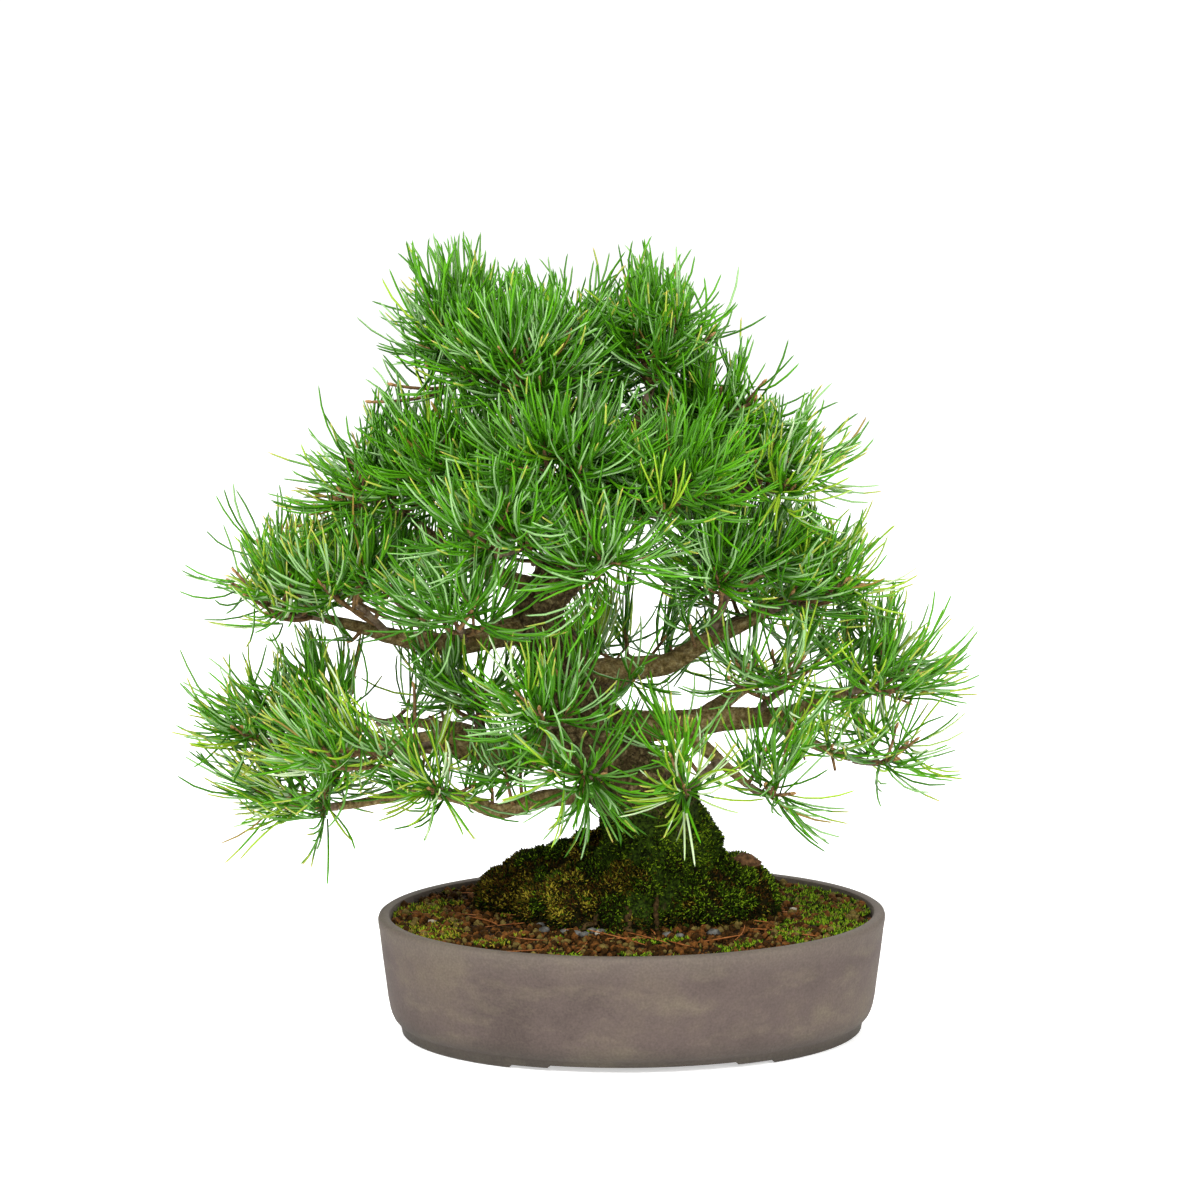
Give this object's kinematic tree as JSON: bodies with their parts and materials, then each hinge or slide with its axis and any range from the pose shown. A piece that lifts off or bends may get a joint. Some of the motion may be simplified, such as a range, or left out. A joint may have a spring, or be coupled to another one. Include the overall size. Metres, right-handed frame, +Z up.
{
  "type": "japanese white pine bonsai",
  "caption": "Potted miniature white pine with a leaning S-curved trunk on a mossy root flare, tapering boughs, tufted masses of needles and an oval unglazed pot.",
  "frame": {"origin": "bottom centre of the bounding box, level with the underside of the pot's feet", "axes": "+Z up, -Y towards the viewer of the tree's front, +X to the right seen from the front"},
  "size_m": [0.5656, 0.371, 0.5682],
  "materials": {
    "pot": "matte",
    "soil": "matte",
    "bark": "matte",
    "moss": "matte",
    "needles": "satin"
  },
  "bodies": {
    "root": {"bough_back_left": "bark", "bough_back_low": "bark", "bough_back_mid": "bark", "bough_back_right": "bark", "bough_left_low": "bark", "bough_left_main": "bark", "bough_left_mid": "bark", "bough_left_upper": "bark", "bough_right_low": "bark", "bough_right_lowest": "bark", "bough_right_mid": "bark", "bough_right_under": "bark", "bough_right_upper": "bark", "bough_top_left": "bark", "bough_top_right": "bark", "moss_front": "moss", "moss_left": "moss", "moss_right": "moss", "needles_apex": "needles", "needles_back_left": "needles", "needles_back_low": "needles", "needles_back_mid": "needles", "needles_back_right": "needles", "needles_front_left": "needles", "needles_front_low": "needles", "needles_front_low_right": "needles", "needles_front_lowest": "needles", "needles_front_middle": "needles", "needles_front_right": "needles", "needles_front_upper": "needles", "needles_left_front": "needles", "needles_left_inner": "needles", "needles_left_tip": "needles", "needles_left_top": "needles", "needles_low_left_front": "needles", "needles_low_left_tip": "needles", "needles_mid_left_back": "needles", "needles_mid_left_front": "needles", "needles_mid_left_tip": "needles", "needles_mid_left_top": "needles", "needles_mid_right_back": "needles", "needles_mid_right_tip": "needles", "needles_mid_right_top": "needles", "needles_right_lowest": "needles", "needles_right_tip": "needles", "needles_right_top": "needles", "needles_right_under": "needles", "needles_top_back": "needles", "needles_top_left": "needles", "needles_top_left_front": "needles", "needles_top_right": "needles", "needles_top_right_out": "needles", "needles_upper_left": "needles", "needles_upper_left_inner": "needles", "needles_upper_right": "needles", "needles_upper_right_back": "needles", "needles_upper_right_inner": "needles", "pot": "pot", "soil": "soil", "trunk": "bark"}
  },
  "joints": []
}
